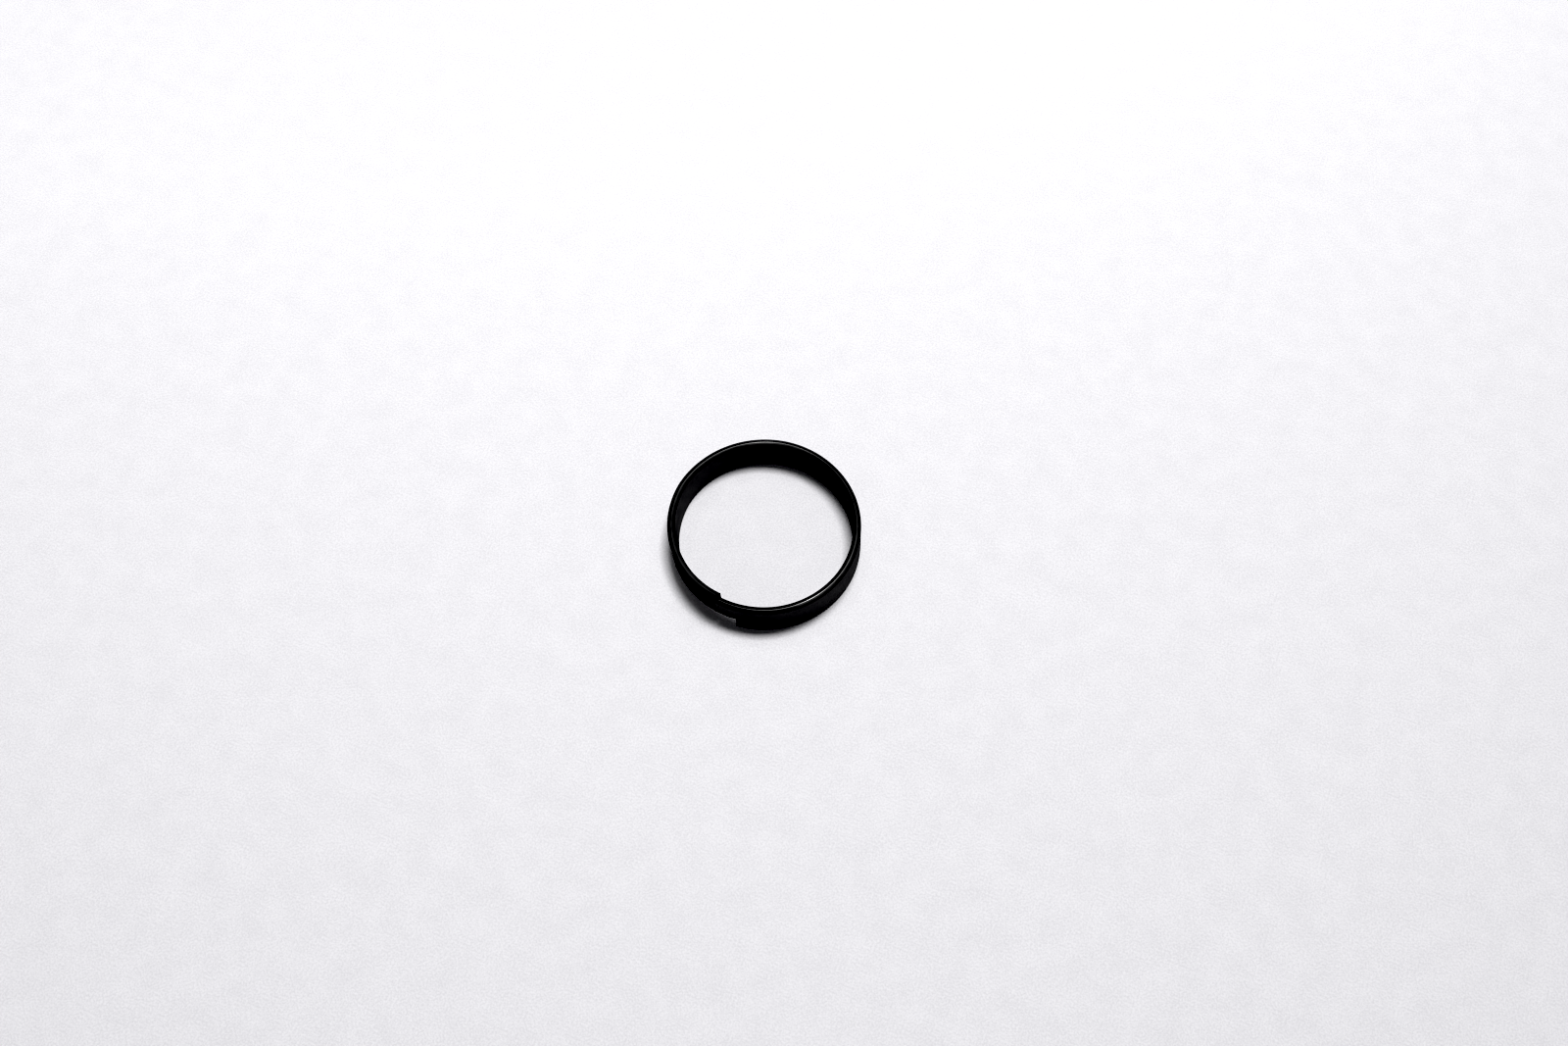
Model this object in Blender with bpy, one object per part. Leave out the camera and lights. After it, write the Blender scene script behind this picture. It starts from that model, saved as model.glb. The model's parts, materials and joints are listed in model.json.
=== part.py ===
"""Step-cut guide ring: one turn of a black filled-plastic bearing strip, 15 mm wide and 2.75 mm thick.

The strip flexes as a whole, so it is built as a chain of arc sections joined where it bends.
+Z is the ring axis, the lap joint faces -Y and the back section faces +Y.
"angle" is in degrees round the ring from the back, positive towards +X, the right side.
Lengths are in metres.
"""
import math

import bmesh
import bpy
from mathutils import Matrix, Vector

# Strip
OUTER_RADIUS = 0.03325        # free outside radius, for a 65 mm cylinder bore
THICKNESS = 0.00275           # radial thickness
HEIGHT = 0.015                # axial width
MID_RADIUS = OUTER_RADIUS - THICKNESS / 2.0
CORNER_ROUND = 0.0009         # rounded long edges, leaving a narrow flat land on each rim
CORNER_STEPS = 4              # facets per rounded corner
ARC_STEP = 3.0                # largest facet round the ring, degrees
SECTION_GAP = 0.0003          # clearance between neighbouring sections
HALF_GAP_ANGLE = math.degrees(SECTION_GAP / 2.0 / MID_RADIUS)
WELD_DISTANCE = 1e-6          # joins each end cap to the sides

# Lap joint: both ends run past -Y, the right one above the left one
SHOULDER = 174.5              # where the full height of each end stops
UPPER_TIP = 185.1             # where the right end's upper tongue stops
LOWER_TIP = 183.2             # where the left end's lower tongue stops
UPPER_TONGUE = 0.0054         # height of the upper tongue
LOWER_TONGUE = 0.0055         # height of the lower tongue

# Blocks that cut the steps, all larger than what they remove
CUT_LENGTH = 0.012            # along the strip, from the shoulder
CUT_DEPTH = 0.010             # across the thickness
CUT_OVERRUN = 0.006           # past the strip's rim
TANGENT_STEP = 0.2            # degrees either side used to find the strip's direction

# Bend of the left side, which leaves the true circle
TWIST = 0.084                 # greatest lean in radians; the twist also raises the end
TWIST_START = 62.0            # degrees from the back
INSET = 0.00093               # greatest distance drawn in
INSET_START = 83.5            # degrees from the back
INSET_SPAN = 128.0            # degrees until it would be back on the circle, past its tip

# Plastic: near-black, each section slightly lighter than the one before
FIRST_SHADE = 0.012
SHADE_STEP = 0.0004
BLUE_TINT = 1.02              # blue relative to red and green
ROUGHNESS = 0.38

# Sections of each side: name, start angle from the back. Each runs to the next one's start.
BACK_END = 15.0               # the back section reaches this far to each side
RIGHT_SECTIONS = [
    ("band_right_rear", BACK_END),
    ("band_right_upper_side", 45.0),
    ("band_right_lower_side", 75.0),
    ("band_right_front", 105.0),
    ("band_right_end_upper_tongue", 140.0),
]
LEFT_SECTIONS = [
    ("band_left_rear", BACK_END),
    ("band_left_upper_side", 40.0),
    ("band_left_side", 65.0),
    ("band_left_lower_side", 90.0),
    ("band_left_front", 117.0),
    ("band_left_end_lower_tongue", 145.0),
]


def clear_scene():
    for obj in list(bpy.data.objects):
        bpy.data.objects.remove(obj, do_unlink=True)
    for group in (bpy.data.meshes, bpy.data.curves, bpy.data.materials):
        for block in list(group):
            group.remove(block)


def add_collection(name):
    collection = bpy.data.collections.new(name)
    bpy.context.scene.collection.children.link(collection)
    return collection


# ---- shape of the strip ------------------------------------------------------------------------

def twisted_arc(angle):
    """Radians travelled since the twist began; zero before it and on the right side."""
    return math.radians(max(0.0, -angle - TWIST_START))


def lean(angle):
    """How far the strip's cross-section leans, in radians."""
    return TWIST * math.sin(twisted_arc(angle))


def centre_line(angle):
    """Middle of the strip's cross-section."""
    inset_progress = min(max((-angle - INSET_START) / INSET_SPAN, 0.0), 1.0)
    radius = MID_RADIUS - INSET * math.sin(math.pi * inset_progress)
    arc = twisted_arc(angle)
    z = HEIGHT / 2.0 + TWIST * MID_RADIUS * (arc - math.sin(arc))
    turn = math.radians(angle)
    return Vector((radius * math.sin(turn), radius * math.cos(turn), z))


def local_axes(angle, side):
    """Directions towards the strip's end, outwards and upwards, following the lean."""
    step = side * TANGENT_STEP
    along = (centre_line(angle + step) - centre_line(angle - step)).normalized()
    turn = math.radians(angle)
    radial = Vector((math.sin(turn), math.cos(turn), 0.0))
    radial = (radial - along * radial.dot(along)).normalized()
    upright = along.cross(radial) * side
    cos_lean, sin_lean = math.cos(lean(angle)), math.sin(lean(angle))
    outward = radial * cos_lean - upright * sin_lean
    upward = upright * cos_lean + radial * sin_lean
    return along, outward, upward


def add_poly_spline(curve, points):
    spline = curve.splines.new("POLY")
    spline.points.add(len(points) - 1)
    for spline_point, (x, y, z) in zip(spline.points, points):
        spline_point.co = (x, y, z, 1.0)
    return spline


def add_profile(helpers):
    """Cross-section as a flat closed curve: x across the thickness, y up the height."""
    centre_x = THICKNESS / 2.0 - CORNER_ROUND
    centre_y = HEIGHT / 2.0 - CORNER_ROUND
    # Corner centre x and y, direction in degrees where its arc starts
    corners = [
        (centre_x, centre_y, 0.0),
        (-centre_x, centre_y, 90.0),
        (-centre_x, -centre_y, 180.0),
        (centre_x, -centre_y, 270.0),
    ]
    points = []
    for x, y, start in corners:
        for i in range(CORNER_STEPS + 1):
            turn = math.radians(start + 90.0 * i / CORNER_STEPS)
            points.append((x + CORNER_ROUND * math.cos(turn), y + CORNER_ROUND * math.sin(turn), 0.0))
    curve = bpy.data.curves.new("strip_profile", "CURVE")
    curve.dimensions = "2D"
    add_poly_spline(curve, points).use_cyclic_u = True
    return add_helper("strip_profile", curve, helpers)


def add_helper(name, data, helpers):
    """Adds an object that shapes the strip but isn't part of it."""
    obj = bpy.data.objects.new(name, data)
    obj.hide_render = True
    obj.display_type = "WIRE"
    helpers.objects.link(obj)
    return obj


def sweep(name, first, last, profile, helpers):
    """Closed mesh of the strip between two angles, swept along the centre line."""
    count = max(2, math.ceil(abs(last - first) / ARC_STEP))
    angles = [first + (last - first) * i / count for i in range(count + 1)]
    path = bpy.data.curves.new(name + "_path", "CURVE")
    path.dimensions = "3D"
    path.twist_mode = "Z_UP"
    path.bevel_mode = "OBJECT"
    path.bevel_object = profile
    path.use_fill_caps = True
    spline = add_poly_spline(path, [centre_line(angle) for angle in angles])
    for spline_point, angle in zip(spline.points, angles):
        spline_point.tilt = lean(angle)
    obj = bpy.data.objects.new(name + "_path", path)
    helpers.objects.link(obj)
    bpy.context.view_layer.update()
    depsgraph = bpy.context.evaluated_depsgraph_get()
    mesh = bpy.data.meshes.new_from_object(obj.evaluated_get(depsgraph))
    bpy.data.objects.remove(obj, do_unlink=True)
    close_mesh(mesh)
    return mesh


def close_mesh(mesh):
    """Joins the caps to the sides, fills any end left open and turns every face outwards."""
    bm = bmesh.new()
    bm.from_mesh(mesh)
    bmesh.ops.remove_doubles(bm, verts=bm.verts, dist=WELD_DISTANCE)
    open_edges = [edge for edge in bm.edges if len(edge.link_faces) < 2]
    if open_edges:
        bmesh.ops.holes_fill(bm, edges=open_edges, sides=0)
    bmesh.ops.recalc_face_normals(bm, faces=bm.faces)
    for face in bm.faces:
        face.smooth = True
    bm.to_mesh(mesh)
    bm.free()


# ---- sections ----------------------------------------------------------------------------------

def plastic(name, shade):
    colour = (shade, shade, shade * BLUE_TINT, 1.0)
    material = bpy.data.materials.new(name)
    material.use_nodes = True
    shader = material.node_tree.nodes["Principled BSDF"]
    shader.inputs["Base Color"].default_value = colour
    shader.inputs["Roughness"].default_value = ROUGHNESS
    material.diffuse_color = colour
    return material


def add_section(name, mesh, origin, home, shade):
    """Adds a section with its origin at the given point of the centre line."""
    mesh.transform(Matrix.Translation(-origin))
    mesh.name = name
    mesh.materials.clear()
    mesh.materials.append(plastic(name + "_plastic", shade))
    section = bpy.data.objects.new(name, mesh)
    section.location = origin
    home.objects.link(section)
    return section


def cut_step(section, side, low, high, helpers):
    """Cuts a block off an end, past its shoulder, between two heights from mid height."""
    angle = side * SHOULDER
    along, outward, upward = local_axes(angle, side)
    middle = centre_line(angle) + along * (CUT_LENGTH / 2.0) + upward * ((low + high) / 2.0)
    axes = Matrix((along, outward, upward)).transposed().to_4x4()
    size = Matrix.Diagonal((CUT_LENGTH, CUT_DEPTH, high - low, 1.0))
    name = "step_cut_" + section.name
    mesh = bpy.data.meshes.new(name)
    bm = bmesh.new()
    bmesh.ops.create_cube(bm, size=1.0, matrix=Matrix.Translation(middle) @ axes @ size)
    # The axes are mirrored on the left side, which turns the faces inwards
    bmesh.ops.recalc_face_normals(bm, faces=bm.faces)
    bm.to_mesh(mesh)
    bm.free()
    modifier = section.modifiers.new("step_cut", "BOOLEAN")
    modifier.operation = "DIFFERENCE"
    modifier.solver = "EXACT"
    modifier.object = add_helper(name, mesh, helpers)


def main():
    clear_scene()
    home = add_collection("step_cut_guide_ring")
    helpers = add_collection("cutters")
    profile = add_profile(helpers)

    back_end = BACK_END - HALF_GAP_ANGLE
    mesh = sweep("band_back", -back_end, back_end, profile, helpers)
    add_section("band_back", mesh, centre_line(0.0), home, FIRST_SHADE)

    rim = HEIGHT / 2.0
    # Side, sections, tip angle, bottom and top of the block cut from its end
    sides = [
        (1.0, RIGHT_SECTIONS, UPPER_TIP, -rim - CUT_OVERRUN, rim - UPPER_TONGUE),
        (-1.0, LEFT_SECTIONS, LOWER_TIP, -rim + LOWER_TONGUE, rim + CUT_OVERRUN),
    ]
    shade = FIRST_SHADE
    for side, sections, tip, cut_low, cut_high in sides:
        ends = [start - HALF_GAP_ANGLE for _, start in sections[1:]] + [tip]
        for (name, start), end in zip(sections, ends):
            shade += SHADE_STEP
            mesh = sweep(name, side * (start + HALF_GAP_ANGLE), side * end, profile, helpers)
            section = add_section(name, mesh, centre_line(side * start), home, shade)
        # The last section of each side carries the tongue
        cut_step(section, side, cut_low, cut_high, helpers)
    bpy.context.view_layer.update()


main()
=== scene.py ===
# A split bearing ring: one black plastic strip bent into a circle, lying on white paper.
# The ring's axis is +Z and it rests on z = 0. The middle of the strip is at the back (+Y). Its
# right side runs round through +X and its left side through -X; the ends overlap in a step.
import bpy
import bmesh
import json
import math
import numpy as np
from mathutils import Matrix, Vector

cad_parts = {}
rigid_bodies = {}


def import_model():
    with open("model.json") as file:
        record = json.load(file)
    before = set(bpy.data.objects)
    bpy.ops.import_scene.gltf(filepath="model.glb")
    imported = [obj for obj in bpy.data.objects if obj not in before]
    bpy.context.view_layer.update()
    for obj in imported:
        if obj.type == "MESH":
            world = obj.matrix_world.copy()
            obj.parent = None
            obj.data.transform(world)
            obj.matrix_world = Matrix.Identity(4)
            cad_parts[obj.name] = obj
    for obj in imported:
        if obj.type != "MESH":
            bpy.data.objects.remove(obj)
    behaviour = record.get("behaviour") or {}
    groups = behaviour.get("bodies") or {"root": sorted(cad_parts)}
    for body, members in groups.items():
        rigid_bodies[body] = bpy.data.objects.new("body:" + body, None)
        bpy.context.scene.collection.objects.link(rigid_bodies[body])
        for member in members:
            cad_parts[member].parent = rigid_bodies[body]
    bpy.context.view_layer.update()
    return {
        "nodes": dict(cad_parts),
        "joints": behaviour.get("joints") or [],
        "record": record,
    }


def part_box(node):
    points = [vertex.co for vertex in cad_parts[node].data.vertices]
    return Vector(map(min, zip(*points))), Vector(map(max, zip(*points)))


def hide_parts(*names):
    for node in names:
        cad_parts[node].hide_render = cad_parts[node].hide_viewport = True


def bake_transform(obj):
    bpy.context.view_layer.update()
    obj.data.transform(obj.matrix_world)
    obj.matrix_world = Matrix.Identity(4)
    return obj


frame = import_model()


# ------------------------------------------------------------------------------------------
# Sizes read from the frame. Lengths in metres, ring angles in degrees.
# A ring angle counts from the back (+Y), positive towards +X.
# A point of the cross-section is (across, up): outwards from mid thickness, up from mid height.
# ------------------------------------------------------------------------------------------
def vertices_of(name):
    return np.array([v.co for v in frame["nodes"][name].data.vertices], float)


def joint_angle(joint):
    """Ring angle of a joint, counted from the back round its own side."""
    x, y = joint["pos_m"][:2]
    return abs(math.degrees(math.atan2(x, y)))


back_lo, back_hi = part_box("band_back")
HEIGHT = back_hi.z - back_lo.z
side_vertices = vertices_of("band_right_lower_side")
side_radii = np.hypot(side_vertices[:, 0], side_vertices[:, 1])
R_OUT = float(side_radii.max())
R_IN = float(side_radii.min())
R_MID = 0.5 * (R_OUT + R_IN)
HALF = (R_OUT - R_IN) / 2.0      # half the thickness

# The left side twists from one angle on, which raises and leans its end
TWIST_FROM = 62.0
# and it bows inwards over this stretch.
INSET_FROM, INSET_SPAN = 83.5, 128.0


def inset_shape(angle):
    return math.sin(math.pi * min(max((angle - INSET_FROM) / INSET_SPAN, 0.0), 1.0))


def twist_turn(angle):
    """Radians turned since the twist began."""
    return math.radians(max(0.0, angle - TWIST_FROM))


def twist_rise(angle):
    """Rise of the left side for a unit twist."""
    turn = twist_turn(angle)
    return R_MID * (turn - math.sin(turn))


inset_joint = next(j for j in frame["joints"] if j["name"] == "left_end_inset")
inset_pos = Vector(inset_joint["pos_m"])
inset_angle = joint_angle(inset_joint)
TWIST = (inset_pos.z - HEIGHT / 2.0) / twist_rise(inset_angle)      # radians
INSET = (R_MID - math.hypot(inset_pos.x, inset_pos.y)) / inset_shape(inset_angle)

# Right end: its tongue is the upper part of the strip
upper = vertices_of("band_right_end_upper_tongue")
upper_angles = np.degrees(np.arctan2(upper[:, 0], upper[:, 1])) % 360.0
TIP_RIGHT = float(upper_angles.max())
SHOULDER_RIGHT = float(upper_angles[upper[:, 2] < 0.3 * HEIGHT].max())
TONGUE_RIGHT_UP = float(upper[upper_angles > SHOULDER_RIGHT + 2.0][:, 2].min()) - HEIGHT / 2.0

# Left end: its tongue is the lower part; its top is measured near the tip
lower = vertices_of("band_left_end_lower_tongue")
lower_angles = (-np.degrees(np.arctan2(lower[:, 0], lower[:, 1]))) % 360.0
near_tip = float(lower_angles.max()) - 0.25
lower_top = float(lower[lower_angles > near_tip - 1.5][:, 2].max())
TONGUE_LEFT_UP = lower_top - HEIGHT / 2.0 - TWIST * twist_rise(near_tip - 0.8)
SHOULDER_LEFT = SHOULDER_RIGHT - 0.7
TIP_LEFT = 360.0 - SHOULDER_RIGHT - 0.16      # all but touches the right shoulder

# ------------------------------------------------------------------------------------------
# Cross-section: flat walls, soft rounds and a low ridge along the middle of each rim
# ------------------------------------------------------------------------------------------
RIDGE_SLOPE = 0.50           # slope of the rim on either side of the ridge
RIDGE_SOFT = 0.00034         # half width over which the ridge is rounded
ROUND_ACROSS = 0.00080       # reach of the outer rounds across the thickness
ROUND_DOWN = 0.00034         # their reach down the wall
RIM_CROWDING = 0.35          # how strongly the rim points are drawn in between ridge and wall


def rim_drop(across):
    """How far the rim lies below its ridge."""
    drop = RIDGE_SLOPE * (math.sqrt(RIDGE_SOFT ** 2 + across * across) - RIDGE_SOFT)
    into_round = (abs(across) - (HALF - ROUND_ACROSS)) / ROUND_ACROSS
    if into_round > 0.0:
        drop += ROUND_DOWN * (1.0 - math.sqrt(max(0.0, 1.0 - min(into_round, 1.0) ** 2)))
    return drop


def rim_offset(turn):
    """Distance of a rim point from the ridge, for a turn from 0 at the ridge to pi/2."""
    sine, cosine = math.sin(turn), math.cos(turn)
    return HALF * sine * (1.0 - RIM_CROWDING * math.sqrt((1.0 - sine) * cosine))


def profile():
    """Closed loop of (across, up, rim); rim is 1 on the ridge and 0 on the walls."""
    n_rim, n_wall = ((30, 18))
    wall_top = HEIGHT / 2.0 - rim_drop(HALF)
    offsets = [rim_offset(0.5 * math.pi * i / n_rim) for i in range(n_rim)] + [HALF]
    half_rim = [(x, HEIGHT / 2.0 - rim_drop(x), 1.0 - x / HALF) for x in offsets]
    outer_wall = [(HALF, -wall_top + 2 * wall_top * i / n_wall, 0.0) for i in range(1, n_wall)]
    inner_rim = [(-x, up, rim) for x, up, rim in half_rim[1:]]
    half_loop = outer_wall + half_rim[::-1] + inner_rim
    # the inner wall and lower rim are the same half turned over
    return half_loop + [(-x, -up, rim) for x, up, rim in half_loop]


PROFILE = profile()

# ------------------------------------------------------------------------------------------
# Path of the strip round the ring
# ------------------------------------------------------------------------------------------
# Outward flare of the lower half: ring angle of the middle, width in degrees, amount
FLARES = ((80.0, 32.0, 0.00036), (-124.0, 22.0, 0.00026))
# Slight unevenness of the strip: amplitude, waves per turn, phase
WALL_WAVES = ((0.000025, 3, 0.7), (0.000015, 7, 2.1))
RIM_WAVES = ((0.000015, 5, 1.3),)


def station(angle):
    """Middle radius, middle height and lean of the strip."""
    radius, z, lean = R_MID, HEIGHT / 2.0, 0.0
    if angle < 0:
        radius -= INSET * inset_shape(-angle)
        z += TWIST * twist_rise(-angle)
        lean = TWIST * math.sin(twist_turn(-angle))
    return radius, z, lean


def smooth(t):
    t = min(max(t, 0.0), 1.0)
    return t * t * (3 - 2 * t)


def flare(angle, up):
    amount = sum(size * math.exp(-((angle - middle) / width) ** 2)
                 for middle, width, size in FLARES)
    return amount * smooth(0.5 - up / HEIGHT)


def wander(waves, turn):
    return sum(size * math.sin(count * turn + phase) for size, count, phase in waves)


def point_at(angle, across, up):
    """Place in space of a cross-section point at a ring angle."""
    radius, z, lean = station(angle)
    turn = math.radians(angle)
    cos_lean, sin_lean = math.cos(lean), math.sin(lean)
    radius += across * cos_lean + up * sin_lean + wander(WALL_WAVES, turn) + flare(angle, up)
    z += -across * sin_lean + up * cos_lean + wander(RIM_WAVES, turn) * (up / (HEIGHT / 2.0))
    return (radius * math.sin(turn), radius * math.cos(turn), z)


def outward(angle):
    turn = math.radians(angle)
    return Vector((math.sin(turn), math.cos(turn), 0.0))


def along(angle):
    """Horizontal direction in which the ring angle grows."""
    turn = math.radians(angle)
    return Vector((math.cos(turn), -math.sin(turn), 0.0))


# ------------------------------------------------------------------------------------------
# Mesh helpers
# ------------------------------------------------------------------------------------------
def add_object(name, data):
    ob = bpy.data.objects.new(name, data)
    bpy.context.scene.collection.objects.link(ob)
    return ob


def write_mesh(bm, me):
    """Turns the faces outwards and writes the bmesh to the mesh."""
    bmesh.ops.recalc_face_normals(bm, faces=bm.faces)
    bm.to_mesh(me)
    bm.free()


def loft(name, sections):
    """Closed solid through a list of equal loops of points."""
    spans, size = len(sections) - 1, len(sections[0])
    faces = []
    for i in range(spans):
        for j in range(size):
            a, b = i * size + j, i * size + (j + 1) % size
            faces.append((a, b, b + size, a + size))
    faces.append(tuple(range(size)))
    faces.append(tuple(spans * size + j for j in range(size)))
    me = bpy.data.meshes.new(name)
    me.from_pydata([point for section in sections for point in section], [], faces)
    bm = bmesh.new()
    bm.from_mesh(me)
    write_mesh(bm, me)
    return add_object(name, me)


def strip(name, start, end):
    """Closed piece of the strip between two ring angles."""
    step = 0.6
    spans = max(2, int(math.ceil(abs(end - start) / step)))
    angles = [start + (end - start) * i / spans for i in range(spans + 1)]
    ob = loft(name, [[point_at(angle, across, up) for across, up, _ in PROFILE]
                     for angle in angles])
    # coordinates along and across the strip, for the material
    values = {
        "strip_arc": [math.radians(angle) * R_MID for angle in angles for _ in PROFILE],
        "strip_rim": [rim for _ in angles for _, _, rim in PROFILE],
        "strip_u": [across for _ in angles for across, _, _ in PROFILE],
    }
    for key, numbers in values.items():
        attribute = ob.data.attributes.new(key, "FLOAT", "POINT")
        attribute.data.foreach_set("value", np.array(numbers, np.float32))
    return ob


def shade(ob, sharp_from=35.0):
    for polygon in ob.data.polygons:
        polygon.use_smooth = True
    ob.data.set_sharp_from_angle(angle=math.radians(sharp_from))


def apply_modifiers(ob):
    depsgraph = bpy.context.evaluated_depsgraph_get()
    new = bpy.data.meshes.new_from_object(ob.evaluated_get(depsgraph))
    old = ob.data
    ob.modifiers.clear()
    ob.data = new
    new.name = ob.name
    bpy.data.meshes.remove(old)


# ------------------------------------------------------------------------------------------
# Stepped ends
# ------------------------------------------------------------------------------------------
CUT_SPANS = 14
CUT_REACH = 0.004            # cutters reach this far across, beyond both walls
CUT_END = 200.0              # ring angle beyond both tips
CUT_SLOPE = 0.124            # slope of the strip at its raised end
LIP = 0.00042                # thickness of the lips left on the two cut faces
LIP_FROM, LIP_TO = 0.7, 0.72           # right lip, degrees past the tip
LIP_BLANK = 2.3              # strip left past the right tip for the lip to be cut from
LEFT_CUT_BACK = 0.15         # degrees the left shoulder is cut back behind its lip
LEFT_CUT_UP = (-0.00075, 0.0085)       # heights between which it is cut back
SEAM_SPARE = 6.0             # degrees built past the seam, then sliced off
EDGE_WIDTH = 0.00012         # bevel on the cut edges
# Burr on the inner edge of the left shoulder
BURR_ACROSS = -HALF * 0.85
BURR_UP = HEIGHT / 2.0 - 0.0004
BURR_REACH = 0.00034
BURR_PULL = 0.00040
BURR_INWARDS, BURR_ALONG = 0.80, -0.15


def cutter(start, end, low, high, inner=-CUT_REACH, outer=CUT_REACH, slope=0.0):
    """Block following the strip; slope tilts its first face, in degrees per metre of height."""
    corners = ((inner, low), (outer, low), (outer, high), (inner, high))
    sections = []
    for i in range(CUT_SPANS + 1):
        section = []
        for across, up in corners:
            first = start + slope * up
            section.append(point_at(first + (end - first) * i / CUT_SPANS, across, up))
        sections.append(section)
    return loft("cut", sections)


def right_cutters(slope):
    """Frees the upper tongue and a thin lip on its outer face, reaching past the tip."""
    return [
        cutter(SHOULDER_RIGHT, CUT_END, low=-HEIGHT, high=TONGUE_RIGHT_UP),
        cutter(TIP_RIGHT + LIP_FROM, CUT_END, low=-HEIGHT, high=HEIGHT, outer=HALF - LIP),
        cutter(TIP_RIGHT + LIP_TO - slope * TONGUE_RIGHT_UP, CUT_END,
               low=-HEIGHT, high=HEIGHT, slope=slope),
    ]


def left_cutters(slope):
    """Frees the lower tongue; the shoulder is cut back but for a lip along its inner edge."""
    low, high = LEFT_CUT_UP
    return [
        cutter(-SHOULDER_LEFT, -CUT_END, low=TONGUE_LEFT_UP, high=HEIGHT),
        cutter(LEFT_CUT_BACK - SHOULDER_LEFT, -CUT_END, low=low, high=high,
               inner=LIP - HALF, slope=slope),
    ]


def slice_at(ob, side, seam):
    """Cuts the piece on the seam plane and closes it, so that it meets its neighbour there."""
    bm = bmesh.new()
    bm.from_mesh(ob.data)
    cut = bmesh.ops.bisect_plane(
        bm, geom=bm.verts[:] + bm.edges[:] + bm.faces[:], dist=1e-7,
        plane_co=outward(side * seam) * R_MID, plane_no=along(side * seam) * (-side),
        clear_outer=True)
    edges = [e for e in cut["geom_cut"] if isinstance(e, bmesh.types.BMEdge)]
    bmesh.ops.holes_fill(bm, edges=edges, sides=0)
    write_mesh(bm, ob.data)


def end_piece(name, side, seam):
    """End of the strip with its tongue, shoulder and softened cut edges."""
    tip = TIP_RIGHT + LIP_BLANK if side > 0 else TIP_LEFT
    ob = strip(name, side * (seam - SEAM_SPARE), side * tip)
    slope = math.degrees(CUT_SLOPE / R_MID)
    cutters = right_cutters(slope) if side > 0 else left_cutters(slope)
    for block in cutters:
        step = ob.modifiers.new("step", "BOOLEAN")
        step.operation = "DIFFERENCE"
        step.solver = "EXACT"
        step.object = block
    bevel = ob.modifiers.new("edge", "BEVEL")
    bevel.limit_method = "ANGLE"
    bevel.angle_limit = math.radians(50.0)
    bevel.width = EDGE_WIDTH
    bevel.segments = 3
    bevel.use_clamp_overlap = True
    apply_modifiers(ob)
    for block in cutters:
        bpy.data.objects.remove(block, do_unlink=True)
    slice_at(ob, side, seam)
    return ob


def pull_burr(ob):
    """Draws the inner corner of the left shoulder inwards and a little towards the tip."""
    angle = -SHOULDER_LEFT
    corner = Vector(point_at(angle, BURR_ACROSS, BURR_UP))
    direction = along(angle) * BURR_ALONG - outward(angle) * BURR_INWARDS
    for vertex in ob.data.vertices:
        distance = (vertex.co - corner).length
        if distance < BURR_REACH * 2.5:
            vertex.co += direction * BURR_PULL * math.exp(-(distance / BURR_REACH) ** 2)


# ------------------------------------------------------------------------------------------
# Materials
# ------------------------------------------------------------------------------------------
class Shader:
    """A material with one Principled shader, and short ways to add nodes to it."""

    def __init__(self, name):
        self.material = bpy.data.materials.new(name)
        self.material.use_nodes = True
        self.tree = self.material.node_tree
        self.tree.nodes.clear()
        output = self.tree.nodes.new("ShaderNodeOutputMaterial")
        self.bsdf = self.tree.nodes.new("ShaderNodeBsdfPrincipled")
        self.feed(output.inputs[0], self.bsdf.outputs[0])

    def feed(self, socket, value):
        """Links a socket, or sets a plain value."""
        if isinstance(value, bpy.types.NodeSocket):
            self.tree.links.new(value, socket)
        else:
            socket.default_value = value

    def surface(self, key, value):
        self.feed(self.bsdf.inputs[key], value)

    def node(self, kind, inputs, **settings):
        node = self.tree.nodes.new(kind)
        for key, value in settings.items():
            setattr(node, key, value)
        for key, value in inputs.items():
            self.feed(node.inputs[key], value)
        return node

    def math(self, operation, *values, clamp=False):
        return self.node("ShaderNodeMath", dict(enumerate(values)),
                         operation=operation, use_clamp=clamp).outputs[0]

    def add(self, a, b, clamp=False):
        return self.math("ADD", a, b, clamp=clamp)

    def subtract(self, a, b):
        return self.math("SUBTRACT", a, b)

    def multiply(self, a, b, clamp=False):
        return self.math("MULTIPLY", a, b, clamp=clamp)

    def centred(self, value, gain):
        """Swing of a 0 to 1 value about its middle."""
        return self.multiply(self.subtract(value, 0.5), gain)

    def attribute(self, name):
        return self.node("ShaderNodeAttribute", {}, attribute_name=name).outputs["Fac"]

    def position(self):
        return self.node("ShaderNodeTexCoord", {}).outputs["Object"]

    def separate(self, vector):
        return self.node("ShaderNodeSeparateXYZ", {"Vector": vector}).outputs

    def noise(self, vector, scale, detail, roughness, stretch=(1.0, 1.0, 1.0)):
        mapping = self.node("ShaderNodeMapping", {"Vector": vector, "Scale": stretch})
        return self.node("ShaderNodeTexNoise", {
            "Vector": mapping.outputs[0], "Scale": scale, "Detail": detail,
            "Roughness": roughness}).outputs["Fac"]

    def mix(self, low, high, factor):
        return self.node("ShaderNodeMix", {"A": low, "B": high, "Factor": factor},
                         data_type="RGBA").outputs["Result"]

    def bump(self, height, strength, distance):
        node = self.node("ShaderNodeBump", {
            "Strength": strength, "Distance": distance, "Height": height})
        self.surface("Normal", node.outputs[0])


VIEW_TURN = math.radians(22.0)      # the camera stands this far round from -Y, towards +X

PLASTIC_DARK = (0.0022, 0.0022, 0.0027, 1)
PLASTIC_WORN = (0.0070, 0.0070, 0.0078, 1)
EDGE_SPECULAR = 0.11
WALL_SPECULAR = 0.03
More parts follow.
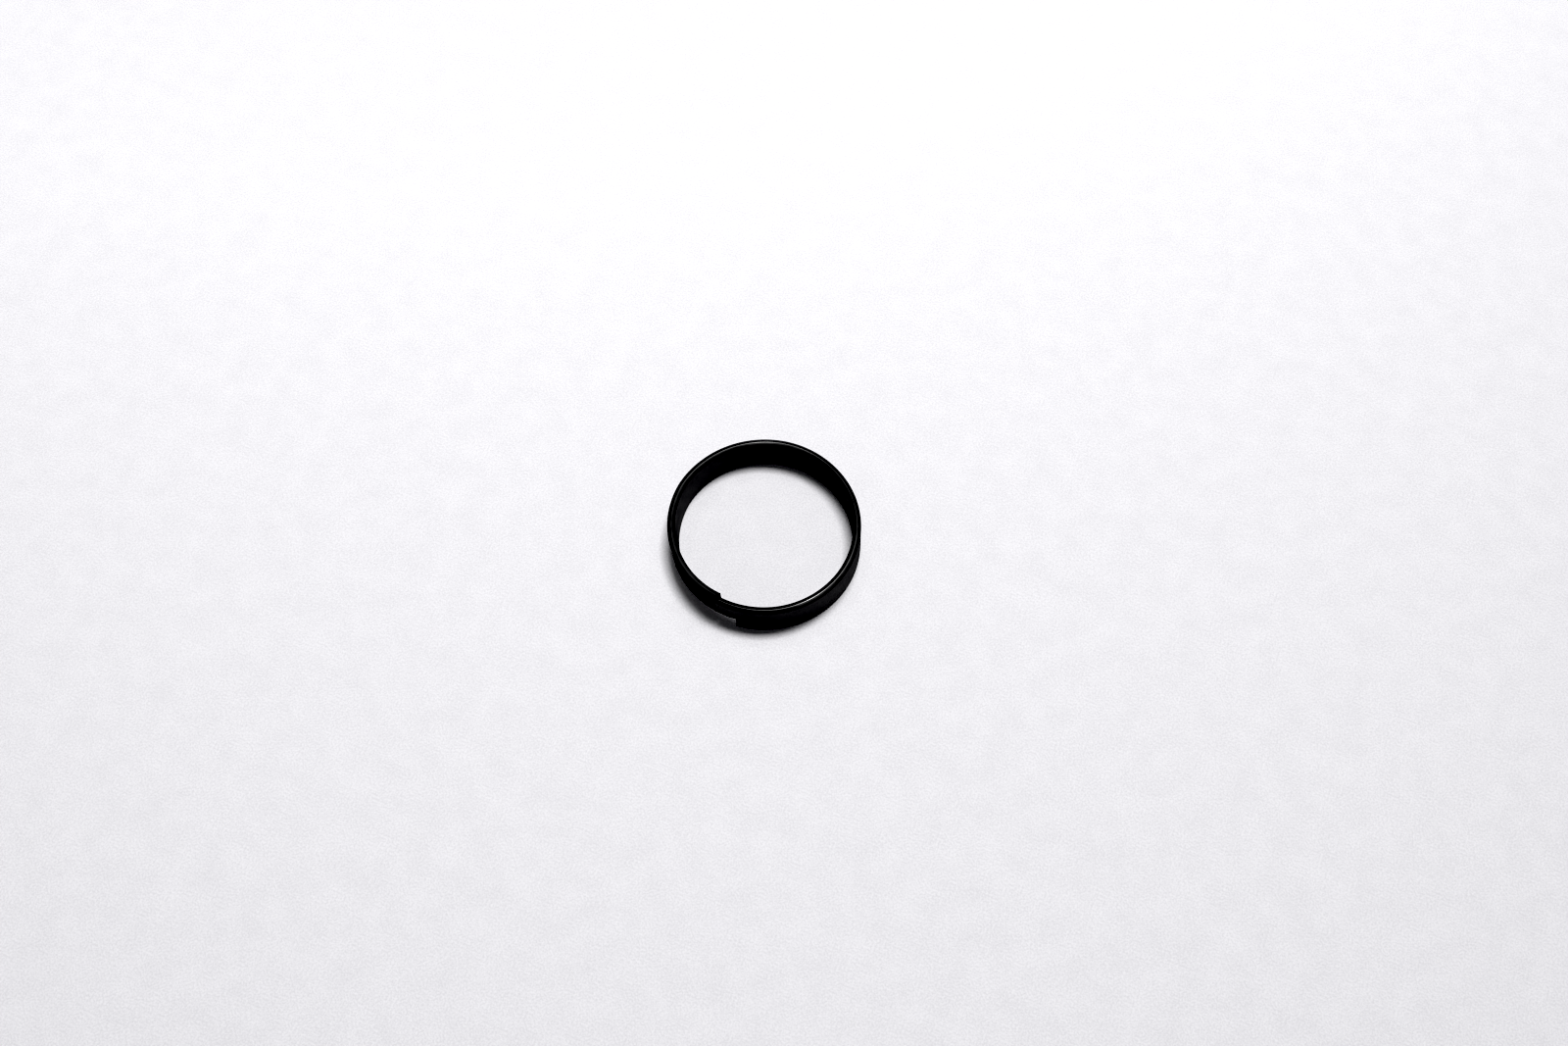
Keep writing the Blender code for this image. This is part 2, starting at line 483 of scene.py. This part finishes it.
# Rubbed stretches: ring angle, width in degrees, specular gain, added roughness
RUBBED = (
    (128.0, 9.0, 4.7, 0.0),
    (-22.0, 9.0, 3.3, 0.0),
    (1.0, 13.0, 1.1, 0.0),
    (100.0, 28.0, 1.6, 0.0),
    (-150.0, 26.0, 1.0, 0.22),
)


def plastic():
    """Black satin plastic: fine marks along the strip and a polished crest on the rims."""
    sh = Shader("black_bearing_plastic")
    arc, rim, across = (sh.attribute(key) for key in ("strip_arc", "strip_rim", "strip_u"))
    # metres along the strip, across it and up it
    place = sh.node("ShaderNodeCombineXYZ", {
        "X": sh.multiply(arc, 1.0), "Y": sh.multiply(across, 1.0),
        "Z": sh.separate(sh.position())["Z"]}).outputs[0]
    lines = sh.noise(place, scale=1.0, detail=3.0, roughness=0.6,
                     stretch=(60.0, 9000.0, 9000.0))
    grain = sh.noise(place, scale=5200.0, detail=4.0, roughness=0.65)
    blotch = sh.noise(place, scale=260.0, detail=3.0, roughness=0.5)

    # colour: near black, slightly lighter where worn
    wear = sh.centred(blotch, gain=2.2)
    wear = sh.add(wear, sh.centred(lines, gain=1.4))
    factor = sh.add(wear, 0.35, clamp=True)
    sh.surface("Base Color", sh.mix(PLASTIC_DARK, PLASTIC_WORN, factor))

    crest = sh.math("POWER", rim, 1.5)
    edge = sh.multiply(rim, 1.6, clamp=True)
    # handling marks vary the shine, and some stretches of the rim are rubbed brighter
    worn = sh.add(sh.multiply(blotch, 0.9), 0.36)
    scuffed = 0.0
    for middle, width, gain, scuff in RUBBED:
        offset = sh.subtract(arc, math.radians(middle) * R_MID)
        offset = sh.math("DIVIDE", offset, math.radians(width) * R_MID)
        bell = sh.math("EXPONENT", sh.multiply(sh.multiply(offset, offset), -1.0))
        worn = sh.add(worn, sh.multiply(bell, gain))
        if scuff:
            scuffed = sh.add(scuffed, sh.multiply(bell, scuff))

    # the fine texture of the walls swallows light that only grazes them
    facing = sh.node("ShaderNodeLayerWeight", {"Blend": 0.5}).outputs["Facing"]
    square_on = sh.multiply(sh.subtract(1.0, facing), 2.2, clamp=True)
    wall = sh.multiply(sh.multiply(square_on, square_on), WALL_SPECULAR)
    shine = sh.add(sh.multiply(sh.multiply(edge, worn), EDGE_SPECULAR), wall)
    sh.surface("Specular IOR Level", shine)

    # satin walls, smoother on the crest, varied by the marks and the grain
    rough = sh.subtract(0.46, sh.multiply(crest, 0.20))
    rough = sh.add(rough, sh.centred(blotch, gain=0.22))
    rough = sh.add(rough, sh.centred(grain, gain=0.10))
    sh.surface("Roughness", sh.add(rough, scuffed))

    relief = sh.add(sh.multiply(lines, 0.55), sh.multiply(grain, 0.45))
    sh.bump(relief, strength=0.35, distance=0.00003)
    return sh.material


PAPER_DARK = (0.800, 0.795, 0.832, 1)
PAPER_LIGHT = (0.940, 0.935, 0.972, 1)
# Painted light: the lamps' brightness falling off over the sheet, painted into its colour, per
# metre and per square metre as the camera sees it
PAINTED_LIGHT_AWAY = 0.515
PAINTED_LIGHT_ASIDE = -0.15
PAINTED_LIGHT_ASIDE_SQUARED = -0.58
PAINTED_LIGHT_AWAY_SQUARED = 0.40
PAINTED_LIGHT_AWAY_ASIDE = -0.25
PAINTED_LIGHT_MOST = 1.10
# Painted shade inside the ring, where its walls shade the paper; it fades out over a short
# distance under the strip
PAINTED_SHADE_INSIDE = 0.072
PAINTED_SHADE_FROM = R_IN - 0.004
PAINTED_SHADE_FADE = 0.010


def paper():
    """White paper: faint fibre grain, a lavender cast, painted light falling off over the sheet
    and painted shade inside the ring.
    """
    sh = Shader("white_paper")
    place = sh.position()
    fibre = sh.noise(place, scale=1500.0, detail=3.0, roughness=0.60)
    cloud = sh.noise(place, scale=105.0, detail=4.0, roughness=0.62)
    mottle = sh.add(sh.multiply(fibre, 0.77), sh.multiply(cloud, 0.23))
    factor = sh.add(sh.centred(mottle, gain=4.0), 0.5, clamp=True)
    colour = sh.mix(PAPER_DARK, PAPER_LIGHT, factor)

    # coordinates away from the camera and to its right
    axes = sh.separate(place)
    x, y = axes["X"], axes["Y"]
    cos_view, sin_view = math.cos(VIEW_TURN), math.sin(VIEW_TURN)
    away = sh.add(sh.multiply(x, -sin_view), sh.multiply(y, cos_view))
    aside = sh.add(sh.multiply(x, cos_view), sh.multiply(y, sin_view))
    # painted light: the lamps' brightness falling off over the sheet, scaling the paper's
    # colour
    bright = sh.add(sh.multiply(away, PAINTED_LIGHT_AWAY), sh.multiply(aside, PAINTED_LIGHT_ASIDE))
    for first, second, gain in ((aside, aside, PAINTED_LIGHT_ASIDE_SQUARED),
                                (away, away, PAINTED_LIGHT_AWAY_SQUARED),
                                (away, aside, PAINTED_LIGHT_AWAY_ASIDE)):
        bright = sh.add(bright, sh.multiply(sh.multiply(first, second), gain))
    bright = sh.math("MINIMUM", sh.add(bright, 1.0), PAINTED_LIGHT_MOST)

    # painted shade: the paper inside the ring darkened where the walls shade it
    radius = sh.math("SQRT", sh.add(sh.multiply(x, x), sh.multiply(y, y)))
    clear = sh.multiply(sh.subtract(radius, PAINTED_SHADE_FROM), 1.0 / PAINTED_SHADE_FADE, clamp=True)
    painted_shade = sh.add(sh.multiply(clear, PAINTED_SHADE_INSIDE), 1.0 - PAINTED_SHADE_INSIDE)
    bright = sh.multiply(bright, painted_shade)
    # paper colour scaled by the painted light falloff and the painted shade inside the ring
    dimmed = sh.node("ShaderNodeVectorMath", {0: colour, "Scale": bright}, operation="SCALE")
    sh.surface("Base Color", dimmed.outputs[0])
    sh.surface("Roughness", 0.9)
    sh.surface("Specular IOR Level", 0.1)
    sh.bump(fibre, strength=0.25, distance=0.00006)
    return sh.material


# ------------------------------------------------------------------------------------------
# The strip, in pieces that each span one joint
# ------------------------------------------------------------------------------------------
BEND_RADIUS = R_IN * 0.94        # radius on which the ends of each bend are placed


def chain(side):
    """[(joint, start angle, joint angle, end angle)] from the back round to one end."""
    prefix = "right_" if side > 0 else "left_"
    joints, parent = [], "back"
    while True:
        found = [j for j in frame["joints"]
                 if j["parent"] == parent and j["child"].startswith(prefix)]
        if not found:
            break
        joints.append(found[0])
        parent = found[0]["child"]
    angles = [joint_angle(j) for j in joints]
    middles = [(a + b) / 2.0 for a, b in zip(angles, angles[1:])]
    seams = [0.0] + middles + [TIP_RIGHT if side > 0 else TIP_LEFT]
    return list(zip(joints, seams, angles, seams[1:]))


def node_of(body):
    return frame["record"]["behaviour"]["bodies"][body][0]


def bend(ob, side, start, middle, end):
    """Works out where a bend across the joint would start and end, over an equal reach to
    either side where it can, and bakes the piece's transform.
    """
    before = middle - start
    after = min(end - middle, before)
    centre = outward(side * middle) * R_MID
    tangent = along(side * middle) * side
    bend_from = centre - tangent * BEND_RADIUS * math.sin(math.radians(before))
    bend_to = centre + tangent * BEND_RADIUS * math.sin(math.radians(after))
    bend_from.z = bend_to.z = HEIGHT / 2.0
    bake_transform(ob)


def build_side(side, material):
    rows = chain(side)
    for k, (joint, start, middle, end) in enumerate(rows):
        name = "strip_" + joint["child"]
        if k == len(rows) - 1:
            ob = end_piece(name, side, start)
            if side < 0:
                pull_burr(ob)
        else:
            ob = strip(name, side * start, side * end)
        shade(ob)
        ob.data.materials.clear()
        ob.data.materials.append(material)
        bend(ob, side, start, middle, end)
        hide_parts(node_of(joint["child"]))
        if side > 0 and k == 0:
            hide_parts(node_of("back"))


black = plastic()
for ring_side in (1.0, -1.0):
    build_side(ring_side, black)


# ------------------------------------------------------------------------------------------
# Paper
# ------------------------------------------------------------------------------------------
def build_paper(half_size=1.6, segments=60, z=-0.00003):
    """Sheet a hair below the ring."""
    bm = bmesh.new()
    bmesh.ops.create_grid(bm, x_segments=segments, y_segments=segments, size=half_size)
    for vertex in bm.verts:
        vertex.co.z = z
    me = bpy.data.meshes.new("paper")
    bm.to_mesh(me)
    bm.free()
    floor = add_object("paper", me)
    floor.data.materials.append(paper())


build_paper()

# ------------------------------------------------------------------------------------------
# Camera
# ------------------------------------------------------------------------------------------
VIEW_RISE = math.radians(64.13)          # above the horizontal
VIEW_DISTANCE = 16.35998 * R_OUT
AIM_RIGHT = 0.20613374 * R_OUT           # aim, from the centre of the ring's top
AIM_UP = 0.00703871 * R_OUT

to_camera = Vector((math.sin(VIEW_TURN) * math.cos(VIEW_RISE),
                    -math.cos(VIEW_TURN) * math.cos(VIEW_RISE),
                    math.sin(VIEW_RISE)))
view_right = Vector((math.cos(VIEW_TURN), math.sin(VIEW_TURN), 0.0))
view_up = to_camera.cross(view_right)
view_away = Vector((-math.sin(VIEW_TURN), math.cos(VIEW_TURN), 0.0))     # level


def set_axes(ob, x_axis, y_axis, z_axis):
    ob.rotation_mode = "QUATERNION"
    ob.rotation_quaternion = Matrix((x_axis, y_axis, z_axis)).transposed().to_quaternion()


def build_camera():
    data = bpy.data.cameras.new("camera")
    camera = add_object("camera", data)
    data.sensor_width = 36.0
    data.lens = 36.6075
    data.clip_start = 0.01
    data.clip_end = 20.0
    aim = Vector((0.0, 0.0, HEIGHT)) + view_right * AIM_RIGHT + view_up * AIM_UP
    camera.location = aim + to_camera * VIEW_DISTANCE
    set_axes(camera, view_right, view_up, to_camera)
    bpy.context.scene.camera = camera


build_camera()


# ------------------------------------------------------------------------------------------
# Lights and room
# ------------------------------------------------------------------------------------------
def softbox(name, direction, distance, size, power, colour):
    """Area light aimed at the ring; direction is (right, away, up) as the camera sees it."""
    data = bpy.data.lights.new(name, "AREA")
    data.shape = "RECTANGLE"
    data.size, data.size_y = size
    data.energy = power
    data.color = colour
    ob = add_object(name, data)
    right, away, up = direction
    to_light = (view_right * right + view_away * away + Vector((0, 0, 1)) * up).normalized()
    ob.location = to_light * distance
    across = (view_right - to_light * view_right.dot(to_light)).normalized()
    set_axes(ob, across, to_light.cross(across), to_light)


WARM = (1.0, 0.995, 0.99)
COOL = (0.96, 0.97, 1.0)
softbox("key", direction=(0.106, 0.150, 1.0), distance=2.2, size=(0.64, 0.42),
        power=45.1, colour=WARM)
softbox("tail", direction=(0.10, 0.36, 1.0), distance=2.3, size=(2.1, 0.60),
        power=7.2, colour=WARM)
softbox("front_left", direction=(-0.80, -0.55, 1.0), distance=2.3, size=(0.8, 0.8),
        power=0.8, colour=COOL)

ROOM_COLOUR = (0.97, 0.97, 1.0, 1.0)
ROOM_LIGHT = 0.030           # strength of the light the room gives
ROOM_SEEN = 0.84             # added where the camera looks straight at it


def build_room():
    """A dim even room that reads pale to the camera."""
    world = bpy.data.worlds.new("room")
    bpy.context.scene.world = world
    world.use_nodes = True
    tree = world.node_tree
    background = tree.nodes["Background"]
    background.inputs["Color"].default_value = ROOM_COLOUR
    path = tree.nodes.new("ShaderNodeLightPath")
    strength = tree.nodes.new("ShaderNodeMath")
    strength.operation = "MULTIPLY_ADD"
    strength.inputs[1].default_value = ROOM_SEEN
    strength.inputs[2].default_value = ROOM_LIGHT
    tree.links.new(path.outputs["Is Camera Ray"], strength.inputs[0])
    tree.links.new(strength.outputs[0], background.inputs["Strength"])


def set_render(scene):
    scene.cycles.filter_width = 1.05      # crisp edges
    view = scene.view_settings
    view.view_transform = "Standard"
    view.look = "None"
    view.exposure = 0.0
    view.gamma = 1.0
    view.use_curve_mapping = True
    view.curve_mapping.black_level = (0.0125, 0.0125, 0.0125)
    view.curve_mapping.update()


build_room()
set_render(bpy.context.scene)
